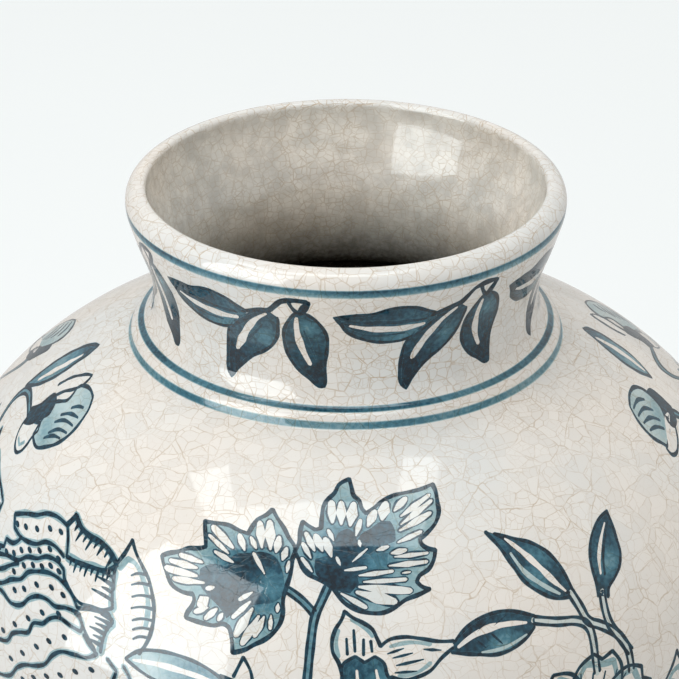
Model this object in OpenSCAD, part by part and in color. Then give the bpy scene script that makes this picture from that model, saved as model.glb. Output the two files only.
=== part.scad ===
// Glazed earthenware vase with a round shoulder and a short flared neck.
// Thrown in sections that are luted together with slip, then coated with one skin of glaze.
// Millimetres, +Z up, origin at the centre of the foot's resting face.

/* [Body] */
// Height of the whole vase
vase_h = 250; // [248:1:254]
// Largest radius of the body, glaze included
belly_r = 102; // [100:0.5:106]
// Height at which the body is widest
belly_z = 154; // [150:1:156]
// Half height of the ellipse that the shoulder follows
shoulder_b = 66.2; // [65:0.1:67]
// Thickness of the wall at the shoulder and belly, glaze included
wall = 6; // [5.5:0.1:6.5]

/* [Neck and lip] */
// Radius where the shoulder meets the neck's bead
bead_low_r = 52.1; // [51.8:0.1:52.6]
// Radius where the bead meets the neck
bead_top_r = 49.6; // [49.4:0.1:49.8]
// Height of the bead
bead_h = 3.4; // [3:0.1:3.8]
// Bulge of the bead beyond a straight slope
bead_bulge = 0.8; // [0.4:0.1:1]
// Smallest radius of the neck outside
waist_r = 46.4; // [46:0.1:46.8]
// Smallest radius of the neck inside
throat_r = 40.9; // [40.4:0.1:41.4]
// Outer radius of the lip
lip_r = 52.5; // [52:0.1:53]
// Radius of the lip's rounded outer side
lip_round = 3.9; // [3.7:0.1:4.1]
// Radius of the lip's inner edge
lip_edge = 1; // [0.8:0.1:1.2]

/* [Foot and base] */
// Outer radius of the foot ring, glaze included
foot_r = 62; // [61:0.5:64]
// Inner radius of the foot ring
foot_in_r = 54; // [53:0.5:55]
// Height at which the foot ring ends and the body wall starts
foot_h = 15; // [14.5:0.1:15.5]
// Depth of the recess under the base
recess = 6; // [5:0.5:7]
// Radius of the groove between foot ring and body
groove_r = 58.8; // [58.6:0.1:59.6]
// Height of the bare clay below the glaze
bare_h = 4; // [3:0.5:5]

/* [Glaze and slip] */
// Thickness of the glaze
glaze_t = 0.45; // [0.4:0.05:0.5]
// Thickness of the slip in a luted joint
slip_t = 0.8; // [0.6:0.1:1]

/* [Hidden] */
$fn = 144;

clay_colour = "tan";
slip_colour = "burlywood";
glaze_colour = "ivory";

// A cubic curve from p0 to p3 in n steps, without its last point.
function curve(p0, p1, p2, p3, n) =
    [for (i = [0:n - 1]) let (t = i / n, u = 1 - t)
        u^3 * p0 + 3 * u^2 * t * p1 + 3 * u * t^2 * p2 + t^3 * p3];

// An elliptical arc about c from angle a0 to a1 in n steps, without its last point.
function arc(c, rx, ry, a0, a1, n) =
    [for (i = [0:n - 1]) let (a = a0 + (a1 - a0) * i / n) c + [rx * cos(a), ry * sin(a)]];

// The path moved by d to its left, each point along its own normal.
function left_of(path, d) =
    [for (i = [0:len(path) - 1])
        let (t = path[min(i + 1, len(path) - 1)] - path[max(i - 1, 0)])
        path[i] + d * [-t.y, t.x] / norm(t)];

function part_of(path, first, last) = [for (i = [first:last]) path[i]];

// Angle on the shoulder's ellipse, of half width a, where its radius is r.
function ellipse_angle(a, r) = acos(r / a);

// Heights that follow from the shoulder's ellipse.
belly = [0, belly_z];
in_a = belly_r - wall;
in_b = shoulder_b - wall;
bead_low = [bead_low_r, belly_z + shoulder_b * sin(ellipse_angle(belly_r, bead_low_r))];
bead_top = [bead_top_r, bead_low.y + bead_h];
waist_z = vase_h - 28;
throat_end_r = 46;
throat_end = [throat_end_r, belly_z + in_b * sin(ellipse_angle(in_a, throat_end_r))];
bead_in = throat_end + [-1.3, 1.1];
lip_c = [lip_r - lip_round, vase_h - lip_round];
edge_c = [lip_c.x, vase_h - lip_edge];

// Inside of the lower body and its floor.
floor_z = foot_h + glaze_t;
corner = [50.6, floor_z + 4];
corner_floor_r = 46.6;
floor_r = 56;

// The bead's outward direction, square to its slope.
bead_dir = (bead_low - bead_top) / norm(bead_low - bead_top);
bead_out = bead_bulge * [-bead_dir.y, bead_dir.x];

// The glaze's surface as one path: up the outside from the foot, over the lip, down the
// inside to the middle of the floor. The clay lies to its left all the way.
foot_run = concat(
    curve([foot_r, bare_h], [foot_r + 0.2, 6], [foot_r + 0.4, 8], [foot_r + 0.2, 9.5], 4),
    curve([foot_r + 0.2, 9.5], [foot_r, 12.6], [groove_r - 0.2, 11.8], [groove_r, foot_h], 8));
lower_run = curve([groove_r, foot_h + slip_t], [groove_r + 1.7, 50], [belly_r, 96],
                  [belly_r, belly_z], 40);
shoulder_run = arc(belly, belly_r, shoulder_b, 0.6, ellipse_angle(belly_r, bead_low_r), 36);
bead_run = curve(bead_low, bead_low - bead_dir + 1.33 * bead_out,
                 bead_top + bead_dir + 1.33 * bead_out, bead_top, 8);
neck_run = concat(
    curve(bead_top, bead_top + [-3.1, 2.3], [waist_r, waist_z - 3.5], [waist_r, waist_z + 0.5], 12),
    curve([waist_r, waist_z + 0.5], [waist_r, waist_z + 7.5], [lip_r - 3.6, vase_h - 17],
          [lip_r - 0.9, vase_h - 8.4], 14));
lip_side_run = curve([lip_r - 0.9, vase_h - 8.4], [lip_r - 0.3, vase_h - 6.6],
                     [lip_r, vase_h - 5.4], lip_c + [lip_round, 0], 5);
lip_run = concat(arc(lip_c, lip_round, lip_round, 0, 90, 14),
                 arc(edge_c, lip_edge, lip_edge, 90, 180, 6));
throat_run = concat(
    curve(edge_c - [lip_edge, 0], edge_c - [lip_edge + 0.2, 8],
          [throat_r, waist_z + 12], [throat_r, waist_z], 14),
    curve([throat_r, waist_z], [throat_r, waist_z - 8], bead_in + [-1.6, 1.5], bead_in, 12));
bead_in_run = [bead_in];
shoulder_in_run = arc(belly, in_a, in_b, ellipse_angle(in_a, throat_end_r), -1.2, 36);
lower_in_run = curve([in_a, belly_z - 1.4], [in_a, 100], [56.5, 54], corner, 36);
corner_run = curve(corner, corner - [0.5, 2.6], [corner_floor_r + 2.4, floor_z],
                   [corner_floor_r, floor_z], 7);
floor_run = [[corner_floor_r, floor_z], [0, floor_z]];
skin = concat(foot_run, [[groove_r, foot_h]], lower_run, shoulder_run, bead_run, neck_run,
              lip_side_run, lip_run, throat_run, bead_in_run, shoulder_in_run, lower_in_run,
              corner_run, floor_run);

// The clay's surface, one glaze thickness below the glaze's.
clay_free = left_of(skin, glaze_t);
last = len(skin) - 1;
clay = concat(part_of(clay_free, 0, last - 2),
              [[corner_floor_r, foot_h], [0, foot_h]]);

// Places on the path where one section ends and the next begins.
foot_end = len(foot_run);
lower_start = foot_end + 1;
belly_out = lower_start + len(lower_run);
bead_start = belly_out + len(shoulder_run);
neck_start = bead_start + len(bead_run);
lip_start = neck_start + len(neck_run);
lip_end = lip_start + len(lip_side_run) + len(lip_run);
throat_stop = lip_end + len(throat_run);
shoulder_in = throat_stop + len(bead_in_run);
belly_in = shoulder_in + len(shoulder_in_run);
corner_start = belly_in + len(lower_in_run);
corner_stop = corner_start + len(corner_run);
bevel = 2;
lip_joint = lip_end + 3;

// A ring whose outline runs up the outer clay face from o0 to o1 and down the inner from i0 to i1.
module section(o0, o1, i0, i1, extra = []) {
    rotate_extrude()
        polygon(concat(part_of(clay, o0, o1), part_of(clay, i0, i1), extra));
}

// Ring that the vase stands on, rebated inside to take the base disc.
module foot_ring() {
    side_r = foot_r - glaze_t;
    color(clay_colour)
        rotate_extrude()
            polygon(concat(
                [[foot_in_r, 0], [side_r - 1.2, 0], [side_r, 1.2]],
                part_of(clay, 0, foot_end),
                [[floor_r, foot_h], [floor_r, recess], [foot_in_r, recess]]));
}

// Flat slab that closes the vase, seated in the foot ring's rebate.
module base_disc() {
    color(clay_colour)
        translate([0, 0, recess])
            cylinder(r = floor_r, h = foot_h - recess);
}

// Slip under the body wall, smeared into a fillet inside.
module foot_slip() {
    color(slip_colour)
        rotate_extrude()
            polygon(concat(
                part_of(clay, foot_end, lower_start),
                [[clay[corner_start].x, foot_h + slip_t]],
                part_of(clay, corner_start, corner_stop),
                [[floor_r, foot_h]]));
}

module lower_body() {
    color(clay_colour)
        section(lower_start, belly_out, belly_in + bevel, corner_start,
                [[clay[corner_start].x, foot_h + slip_t]]);
}

// Slip in the bevelled joint at the widest point.
module belly_slip() {
    color(slip_colour)
        section(belly_out, belly_out + 1, belly_in + bevel - 1, belly_in + bevel);
}

module shoulder() {
    color(clay_colour)
        section(belly_out + 1, bead_start, shoulder_in, belly_in + bevel - 1);
}

// Raised bead of slip that lutes the neck to the shoulder.
module neck_bead() {
    color(slip_colour)
        section(bead_start, neck_start, throat_stop, shoulder_in);
}

module neck_collar() {
    color(clay_colour)
        section(neck_start, lip_start, lip_joint, throat_stop);
}

// Thick lip, seated on the neck with a bevel.
module lip_roll() {
    color(clay_colour)
        section(lip_start, lip_end, lip_end + 1, lip_joint);
}

// One continuous skin of glaze, outside and inside, that stops short of the foot's face.
module glaze_coat() {
    color(glaze_colour)
        rotate_extrude()
            polygon(concat(skin, [for (i = [last:-1:0]) clay[i]]));
}

foot_ring();
base_disc();
foot_slip();
lower_body();
belly_slip();
shoulder();
neck_bead();
neck_collar();
lip_roll();
glaze_coat();
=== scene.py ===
"""Looks of the blue-and-white crackle vase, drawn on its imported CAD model.

Blender works in metres. The drawing works in millimetres on the unrolled glaze: x runs round the pot from
the front, to the right, and s runs down its outside from the groove under the neck bead (up is negative).
"""

import math
import random

import bpy
import numpy as np
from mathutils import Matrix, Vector
from mathutils.geometry import delaunay_2d_cdt


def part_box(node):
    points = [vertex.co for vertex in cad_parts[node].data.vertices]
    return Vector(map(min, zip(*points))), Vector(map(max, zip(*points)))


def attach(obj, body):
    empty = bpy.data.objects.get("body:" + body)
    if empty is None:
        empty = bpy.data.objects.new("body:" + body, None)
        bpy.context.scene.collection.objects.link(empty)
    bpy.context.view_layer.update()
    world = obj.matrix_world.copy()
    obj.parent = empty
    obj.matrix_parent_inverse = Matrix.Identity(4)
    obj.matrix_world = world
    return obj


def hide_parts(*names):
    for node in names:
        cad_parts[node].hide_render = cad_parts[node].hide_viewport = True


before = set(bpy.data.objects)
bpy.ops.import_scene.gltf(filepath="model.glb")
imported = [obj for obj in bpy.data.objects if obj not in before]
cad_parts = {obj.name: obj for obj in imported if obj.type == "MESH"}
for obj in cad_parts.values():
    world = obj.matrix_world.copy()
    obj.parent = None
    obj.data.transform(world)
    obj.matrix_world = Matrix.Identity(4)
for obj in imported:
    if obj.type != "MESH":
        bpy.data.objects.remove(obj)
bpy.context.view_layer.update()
rng = random.Random(7)

MM = 0.001

# ------------------------------------------------------------------ the glazed surface


def curve(points, step):
    """Evenly spaced points, and their distance along, on a smooth curve through the given points."""
    p = np.array(points, float)
    chord = np.hypot(*np.diff(p, axis=0).T)
    t = np.concatenate([[0.0], np.cumsum(chord)])
    slope = np.diff(p, axis=0) / chord[:, None]
    m = np.empty_like(p)
    if len(p) > 2:
        near, far = chord[:-1, None], chord[1:, None]
        m[1:-1] = (slope[:-1] * far + slope[1:] * near) / (near + far)
        m[0] = 1.5 * slope[0] - 0.5 * m[1]
        m[-1] = 1.5 * slope[-1] - 0.5 * m[-2]
    else:
        m[:] = slope[0]
    q = np.linspace(0.0, t[-1], max(2, int(round(t[-1] / step)) + 1))
    i = np.clip(np.searchsorted(t, q, side="right") - 1, 0, len(chord) - 1)
    d = chord[i][:, None]
    u = ((q - t[i]) / chord[i])[:, None]
    a = (1 + 2 * u) * (1 - u) ** 2 * p[i] + u * (1 - u) ** 2 * d * m[i]
    b = u * u * (3 - 2 * u) * p[i + 1] + u * u * (u - 1) * d * m[i + 1]
    return a + b, q


def runs(points, limit, closed=False):
    """The points as smooth runs, parted wherever the line turns by more than limit degrees."""
    p = [tuple(v) for v in points]
    n = len(p)

    def turn(i):
        a, b, c = p[i - 1], p[i], p[(i + 1) % n]
        before = math.atan2(b[1] - a[1], b[0] - a[0])
        after = math.atan2(c[1] - b[1], c[0] - b[0])
        return abs(math.degrees((after - before + math.pi) % (2 * math.pi) - math.pi))

    inner = range(n) if closed else range(1, n - 1)
    corners = [i for i in inner if turn(i) > limit]
    if closed:
        first = corners[0] if corners else 0
        p = p[first:] + p[:first + 1]
        cuts = [c - first for c in corners] if corners else [0]
        cuts.append(n)
    else:
        cuts = [0] + corners + [n - 1]
    return [p[a:b + 1] for a, b in zip(cuts, cuts[1:])]


def soften(values, sigma):
    """Values smoothed along the section, with sigma in samples and the ends held."""
    reach = int(4 * sigma)
    weight = np.exp(-0.5 * (np.arange(-reach, reach + 1) / sigma) ** 2)
    padded = np.concatenate([np.full(reach, values[0]), values, np.full(reach, values[-1])])
    return np.convolve(padded, weight / weight.sum(), mode="valid")


def glaze_outline():
    """The CAD glaze's section as (r, z) in mm, from the middle of its floor to its edge at the foot."""
    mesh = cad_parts["glaze_coat"].data
    at = {}
    for v in mesh.vertices:
        if abs(v.co.y) < 1e-6 and v.co.x > -1e-9:
            at[v.index] = (round(v.co.x / MM, 3), round(v.co.z / MM, 3))
    beside = {}
    for edge in mesh.edges:
        a, b = edge.vertices
        if a in at and b in at and at[a] != at[b]:
            beside.setdefault(at[a], set()).add(at[b])
            beside.setdefault(at[b], set()).add(at[a])
    path = [max((p for p in beside if len(beside[p]) == 1), key=lambda p: p[1])]
    before = None
    while True:
        onward = [p for p in sorted(beside[path[-1]]) if p != before]
        if not onward:
            break
        before = path[-1]
        path.append(onward[0])
    lowest = min(range(len(path)), key=lambda i: path[i][1])
    return path[:lowest + 1]


SAMPLE = 0.2  # mm between samples of the section


def section():
    """Arrays s, r, z and the outward normal's r and z, with s = 0 in the groove under the bead."""
    parts = [curve(run, SAMPLE)[0] for run in runs(glaze_outline(), limit=22.0)]
    line = np.concatenate([parts[0]] + [part[1:] for part in parts[1:]])
    r, z = soften(line[:, 0], sigma=1.6), soften(line[:, 1], sigma=1.6)
    r[0] = 0.0
    length = np.concatenate([[0.0], np.cumsum(np.hypot(np.diff(r), np.diff(z)))])
    top = int(np.argmax(z))
    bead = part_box("neck_bead")[0][2] / MM
    near = np.where((np.arange(len(z)) > top) & (z > bead) & (z < bead + 6.0))[0]
    turning = soften(np.gradient(np.unwrap(np.arctan2(np.gradient(z), np.gradient(r)))), sigma=2.0)
    groove = near[np.argmax(turning[near])]
    nr, nz = soften(-np.gradient(z), sigma=3.0), soften(np.gradient(r), sigma=3.0)
    size = np.hypot(nr, nz)
    return length - length[groove], r, z, nr / size, nz / size


S, R, Z, NR, NZ = section()
S_TOP = float(S[int(np.argmax(Z))])
ALONG = np.cumsum(np.gradient(S) / np.maximum(R, 6.0))  # rises down the pot as an angle does round it


def radius(s):
    return np.interp(s, S, R)


def on_glaze(phi, s, lift):
    """Points and normals, in metres, at angle phi round the pot, distance s down it and lift mm proud."""
    nr, nz = np.interp(s, S, NR), np.interp(s, S, NZ)
    r = np.interp(s, S, R) + lift * nr
    z = np.interp(s, S, Z) + lift * nz
    at = np.stack([r * np.sin(phi), -r * np.cos(phi), z], axis=-1) * MM
    out = np.stack([nr * np.sin(phi), -nr * np.cos(phi), nz], axis=-1)
    return at, out


def build(name, phi, s, lift, faces, material, layers):
    """A smooth mesh with the glaze's own normals and named numbers per point, riding on the pot."""
    at, out = on_glaze(phi, s, lift)
    mesh = bpy.data.meshes.new(name)
    mesh.from_pydata(at.tolist(), [], faces)
    mesh.materials.append(material)
    mesh.polygons.foreach_set("use_smooth", [True] * len(mesh.polygons))
    for label, values in {"along": np.interp(s, S, ALONG), **layers}.items():
        layer = mesh.attributes.new(label, "FLOAT", "POINT")
        layer.data.foreach_set("value", np.ascontiguousarray(values, dtype=np.float32))
    mesh.normals_split_custom_set_from_vertices(out.tolist())
    mesh.update()
    piece = bpy.data.objects.new(name, mesh)
    bpy.context.scene.collection.objects.link(piece)
    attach(piece, "root")
    return piece


def rows_between(s0, s1):
    """Places down the section for mesh rows: 2 mm apart at most, closer where the surface turns."""
    k = np.where((S >= s0 - 1e-6) & (S <= s1 + 1e-6))[0]
    heading = np.unwrap(np.arctan2(NZ[k], NR[k]))
    effort = np.abs(np.gradient(heading)) / math.radians(3.5) + np.gradient(S[k]) / 2.0
    spent = np.concatenate([[0.0], np.cumsum(effort)[:-1]])
    count = max(2, int(math.ceil(spent[-1])) + 1)
    rows = np.interp(np.linspace(0.0, spent[-1], count), spent, S[k])
    rows[0], rows[-1] = s0, s1
    return rows


ROUND = 288  # columns right round the pot


def shade(s):
    """Painted shade on the glaze: nothing outside, a light grey inside the mouth, deep shade further in
    where little light reaches.
    """
    depth = [0.9, 2.4, 12.0, 20.0, 28.0, 36.0, 44.0]
    painted_shade = [0.0, 0.10, 0.08, 0.06, 0.17, 0.56, 1.0]
    return np.interp(S_TOP - s, depth, painted_shade)


def skin(name, s0, s1, sectors, material):
    """The glaze between two places on the section, as this many equal pieces round the pot."""
    rows = rows_between(s0, s1)
    across = ROUND // sectors
    for k in range(sectors):
        start = (k - 0.5) * 2 * math.pi / sectors if sectors > 1 else math.pi
        phi = start + np.arange(across + (sectors > 1)) * 2 * math.pi / ROUND
        grid_s, grid_phi = np.meshgrid(rows, phi, indexing="ij")
        flat_phi, flat_s = grid_phi.ravel(), grid_s.ravel()
        width = len(phi)
        faces = []
        for i in range(len(rows) - 1):
            for j in range(across):
                a, b = i * width + j, i * width + (j + 1) % width
                faces.append((a, a + width, b + width, b))
        if rows[0] <= S[0] + 1e-6:  # the floor's middle is a single point
            flat_phi = np.concatenate([flat_phi[:1], flat_phi[width:]])
            flat_s = np.concatenate([flat_s[:1], flat_s[width:]])
            faces = [tuple(dict.fromkeys(max(0, v - width + 1) for v in face)) for face in faces]
        label = name if sectors == 1 else f"{name}_{k + 1}"
        # the shade layer is painted shade: the glaze darkens inside the pot where the light hardly reaches
        piece = build(label, flat_phi, flat_s, 0.0, faces, material, {"shade": shade(flat_s)})
        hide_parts("glaze_coat")


# ------------------------------------------------------------------ materials


class Nodes:
    """Adds shader nodes to a tree in one call each: values for sockets, links as sockets."""

    def __init__(self, tree):
        self.tree = tree

    def wire(self, node, inputs):
        for key, value in inputs.items():
            socket = node.inputs[key]
            if isinstance(value, bpy.types.NodeSocket):
                self.tree.links.new(value, socket)
            else:
                socket.default_value = value

    def add(self, kind, inputs=None, **props):
        node = self.tree.nodes.new(kind)
        for key, value in props.items():
            setattr(node, key, value)
        self.wire(node, inputs or {})
        return node

    def math(self, operation, a, b=0.0, clamp=False):
        return self.add("ShaderNodeMath", {0: a, 1: b}, operation=operation, use_clamp=clamp).outputs[0]

    def vector(self, operation, a, b=(0.0, 0.0, 0.0), scale=None):
        inputs = {0: a, 1: b}
        if scale is not None:
            inputs["Scale"] = scale
        return self.add("ShaderNodeVectorMath", inputs, operation=operation).outputs[0]

    def mix(self, factor, a, b, blend="MIX"):
        inputs = {0: factor, 6: a, 7: b}
        return self.add("ShaderNodeMix", inputs, data_type="RGBA", blend_type=blend).outputs[2]

    def ramp(self, factor, stops):
        node = self.add("ShaderNodeValToRGB", {0: factor})
        ramp = node.color_ramp
        for place, _ in stops[2:]:
            ramp.elements.new(place)
        for element, (place, colour) in zip(ramp.elements, sorted(stops)):
            element.position = place
            element.color = (*colour, 1.0)
        return node.outputs[0]

    def noise(self, vector, scale, detail=2.0, output=0):
        inputs = {"Vector": vector, "Scale": scale, "Detail": detail}
        return self.add("ShaderNodeTexNoise", inputs).outputs[output]

    def step(self, value, low, high, out_low=0.0, out_high=1.0):
        inputs = {"Value": value, "From Min": low, "From Max": high, "To Min": out_low, "To Max": out_high}
        return self.add("ShaderNodeMapRange", inputs, interpolation_type="SMOOTHSTEP").outputs[0]


def principled(name):
    """A new material, the helper for its nodes, and its shader."""
    material = bpy.data.materials.new(name)
    material.use_nodes = True
    return material, Nodes(material.node_tree), material.node_tree.nodes["Principled BSDF"]


def crackle_group(unroll):
    """Crackle of a crazed glaze: long cracks, and between them shorter ones that stop at the longer.

    It is drawn on a flat sheet and has its true size where the pot's radius is unroll, in mm.
    """
    tree = bpy.data.node_groups.new("crackle", "ShaderNodeTree")
    for name, kind in (("Crack", "Float"), ("Field", "Float"), ("Place", "Vector")):
        tree.interface.new_socket(name, in_out="OUTPUT", socket_type="NodeSocket" + kind)
    n = Nodes(tree)
    object_place = n.add("ShaderNodeTexCoord").outputs["Object"]
    place = n.vector("SCALE", object_place, scale=1.0 / MM)
    x, y, _ = n.add("ShaderNodeSeparateXYZ", {0: place}).outputs
    across = n.math("SQRT", n.math("ADD", n.math("MULTIPLY", x, x), n.math("MULTIPLY", y, y)))
    size = n.math("DIVIDE", across, unroll)
    along = n.add("ShaderNodeAttribute", attribute_name="along").outputs["Fac"]
    # the sheet is cut open at the back along a wavy line, which becomes one more crack
    wave = n.add("ShaderNodeTexNoise", {"W": along, "Scale": 7.0}, noise_dimensions="1D").outputs[0]
    wave = n.math("MULTIPLY", n.math("SUBTRACT", wave, 0.5), 0.5)
    turn = n.math("SUBTRACT", n.math("ARCTAN2", x, n.math("MULTIPLY", y, -1.0)), wave)
    wrap = n.add("ShaderNodeMath", {0: turn, 1: math.pi, 2: -math.pi}, operation="WRAP").outputs[0]
    sheet = n.add("ShaderNodeCombineXYZ", {0: n.math("ADD", wrap, wave), 1: along}).outputs[0]
    sheet = n.vector("SCALE", sheet, scale=unroll)
    to_cut = n.math("MULTIPLY", n.math("SUBTRACT", math.pi, n.math("ABSOLUTE", wrap)), across)
    drift = n.vector("SUBTRACT", n.noise(place, 0.13, 1.0, 1), (0.5, 0.5, 0.5))
    wobble = n.vector("SUBTRACT", n.noise(place, 0.6, 1.0, 1), (0.5, 0.5, 0.5))
    bent = n.vector("ADD", sheet, n.vector("SCALE", drift, scale=3.2))
    bent = n.vector("ADD", bent, n.vector("SCALE", wobble, scale=0.5))

    def level(vector, cell, width, randomness):
        """Cracks of this width between cells of about this size, in mm, and a colour for each cell."""
        inputs = {"Vector": vector, "Scale": 1.0 / cell, "Randomness": randomness}
        edge = n.add("ShaderNodeTexVoronoi", inputs, voronoi_dimensions="2D", feature="DISTANCE_TO_EDGE")
        tile = n.add("ShaderNodeTexVoronoi", inputs, voronoi_dimensions="2D", feature="F1")
        far = n.math("MULTIPLY", n.math("MULTIPLY", edge.outputs["Distance"], cell), size)
        return n.step(far, 0.3 * width, width, 1.0, 0.0), tile.outputs["Color"]

    first, field = level(bent, 7.6, 0.19, 0.85)
    shifted = n.vector("ADD", bent, n.vector("SCALE", field, scale=90.0))
    shifted = n.vector("MULTIPLY", shifted, (1.0, 1.25, 1.0))
    second, sub = level(shifted, 3.9, 0.16, 0.8)
    shifted = n.vector("ADD", shifted, n.vector("SCALE", sub, scale=90.0))
    shifted = n.vector("MULTIPLY", shifted, (1.3, 1.0, 1.0))
    third, _ = level(shifted, 2.6, 0.14, 0.75)
    parts = n.add("ShaderNodeSeparateColor", {0: sub}).outputs
    present = n.step(n.math("ADD", parts[0], size), 1.25, 1.5)
    strength = n.step(n.noise(place, 0.05), 0.3, 0.7, 0.55, 1.0)
    faint = n.step(n.noise(place, 0.5), 0.35, 0.6, 0.4, 1.0)
    crack = n.math("MAXIMUM", first, n.math("MULTIPLY", second, 0.85))
    crack = n.math("MAXIMUM", crack, n.math("MULTIPLY", n.math("MULTIPLY", third, present), 0.65))
    crack = n.math("MAXIMUM", crack, n.step(to_cut, 0.05, 0.15, 1.0, 0.0))
    crack = n.math("MULTIPLY", n.math("MULTIPLY", crack, strength), faint)
    crack = n.math("MULTIPLY", crack, n.step(size, 0.75, 1.0, 1.2, 1.0))
    n.add("NodeGroupOutput", {"Crack": crack, "Field": parts[1], "Place": place})
    return tree


COARSE, FINE = crackle_group(67.0), crackle_group(95.0)

# How much light each channel keeps through the blue, from bare glaze to the thickest paint.
PIGMENT = (
    (0.0, (1.0, 1.0, 1.0)),
    (1.0, (0.002, 0.018, 0.036)),
    (0.2, (0.62, 0.78, 0.83)),
    (0.4, (0.29, 0.49, 0.57)),
    (0.6, (0.075, 0.245, 0.345)),
    (0.8, (0.013, 0.085, 0.145)),
)

# The same for the painted shade of the inside, darkening from the mouth to the bottom.
INSIDE_SHADE = (
    (0.0, (1.0, 1.0, 1.0)),
    (1.0, (0.16, 0.15, 0.13)),
    (0.10, (0.93, 0.90, 0.845)),
    (0.35, (0.72, 0.69, 0.63)),
    (0.65, (0.42, 0.41, 0.38)),
)

WARM, COOL = (0.715, 0.685, 0.64), (0.66, 0.675, 0.665)  # the whites that the ground drifts between
CRACK_BROWN, CRACK_SHOWS = (0.435, 0.335, 0.225), 0.74


def glaze(name, crackle, layer_name, tones, fade=1.0, mottle=0.0):
    """Glossy crackled glaze, its ground drifting between two whites and darkened by the mesh's own layer,
    which is the blue's ink or the painted shade inside the pot.

    Cracks fade by this share where the layer is dark, and mottle is how much the ground varies.
    """
    material, n, shader = principled(name)
    crack, field, place = n.add("ShaderNodeGroup", node_tree=crackle).outputs
    cloud = n.step(n.noise(place, 0.022, 3.0), 0.35, 0.65)
    ground = n.mix(cloud, (*WARM, 1.0), (*COOL, 1.0))
    tint = n.step(field, 0.0, 1.0, 0.965, 1.02)
    ground = n.mix(1.0, ground, tint, "MULTIPLY")
    patch = n.step(n.noise(place, 0.2, 4.0), 0.35, 0.65, 1.0 - mottle, 1.0 + 0.5 * mottle)
    ground = n.mix(1.0, ground, patch, "MULTIPLY")
    speck = n.step(n.noise(place, 1.6, 1.0), 0.66, 0.78, 0.0, 0.16)
    ground = n.mix(speck, ground, (*CRACK_BROWN, 1.0))
    # the layer is the blue's ink, or on bare glaze the painted shade inside the pot
    ink_or_shade = n.add("ShaderNodeAttribute", attribute_name=layer_name).outputs["Fac"]
    show = n.math("MULTIPLY", crack, n.step(ink_or_shade, 0.01, 0.08, CRACK_SHOWS, CRACK_SHOWS * fade))
    colour = n.mix(show, ground, (*CRACK_BROWN, 1.0))
    brush = n.step(n.noise(place, 0.9, 3.0), 0.25, 0.75, 0.88, 1.1)
    ink_or_shade = n.math("MULTIPLY", ink_or_shade, brush, clamp=True)
    colour = n.mix(1.0, colour, n.ramp(ink_or_shade, tones), "MULTIPLY")
    dip = n.math("MULTIPLY", crack, -0.5)
    swell = n.math("MULTIPLY", n.noise(place, 0.09, 1.0), 3.0)
    bump = {"Strength": 0.35, "Distance": 0.00006, "Height": n.math("ADD", dip, swell)}
    normal = n.add("ShaderNodeBump", bump).outputs[0]
    sheen = n.step(n.noise(place, 0.3), 0.3, 0.7, 0.03, 0.055)
    rough = n.math("ADD", sheen, n.math("MULTIPLY", crack, 0.05))
    n.wire(shader, {"Base Color": colour, "Roughness": rough, "Normal": normal, "IOR": 1.45})
    return material


def fired_body(name, light, dark, grain):
    """Bare fired clay or slip: a matt buff ground with fine grog and darker specks."""
    material, n, shader = principled(name)
    place = n.vector("SCALE", n.add("ShaderNodeTexCoord").outputs["Object"], scale=1.0 / MM)
    colour = n.mix(n.step(n.noise(place, 0.08, 4.0), 0.3, 0.7), (*light, 1.0), (*dark, 1.0))
    speck = n.step(n.noise(place, grain, 2.0), 0.62, 0.72, 0.0, 0.5)
    colour = n.mix(speck, colour, (dark[0] * 0.5, dark[1] * 0.45, dark[2] * 0.4, 1.0))
    height = n.noise(place, grain * 1.7, 3.0)
    normal = n.add("ShaderNodeBump", {"Strength": 0.5, "Distance": 0.0002, "Height": height}).outputs[0]
    n.wire(shader, {"Base Color": colour, "Normal": normal, "Roughness": 0.85})
    return material


# ------------------------------------------------------------------ painting

LIFT = (0.02, 0.036, 0.052, 0.066)  # mm that each layer of paint stands over the glaze
RIM = 0.008  # mm, lower than any wash, so that the fading rim of a line hardly shows on one
RIM_INK = (0.0, 0.4, 0.75, 0.75)  # share of a line's ink left at its rim, for each layer
TURN = 50.0  # degrees of turn that make a tip or a notch in a drawn outline
LINE_STEP, EDGE_STEP, WASH_STEP = 0.7, 0.8, 1.3  # mm between points along a line, round a wash, inside it


def inside(points, ring):
    """Which points lie inside the closed ring."""
    x, y = points[:, 0][:, None], points[:, 1][:, None]
    ax, ay = ring[:, 0], ring[:, 1]
    bx, by = np.roll(ax, -1), np.roll(ay, -1)
    spans = (ay > y) != (by > y)
    rise = np.where(by == ay, 1e-9, by - ay)
    return np.sum(spans & (x < ax + (y - ay) * (bx - ax) / rise), axis=1) % 2 == 1


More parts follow.
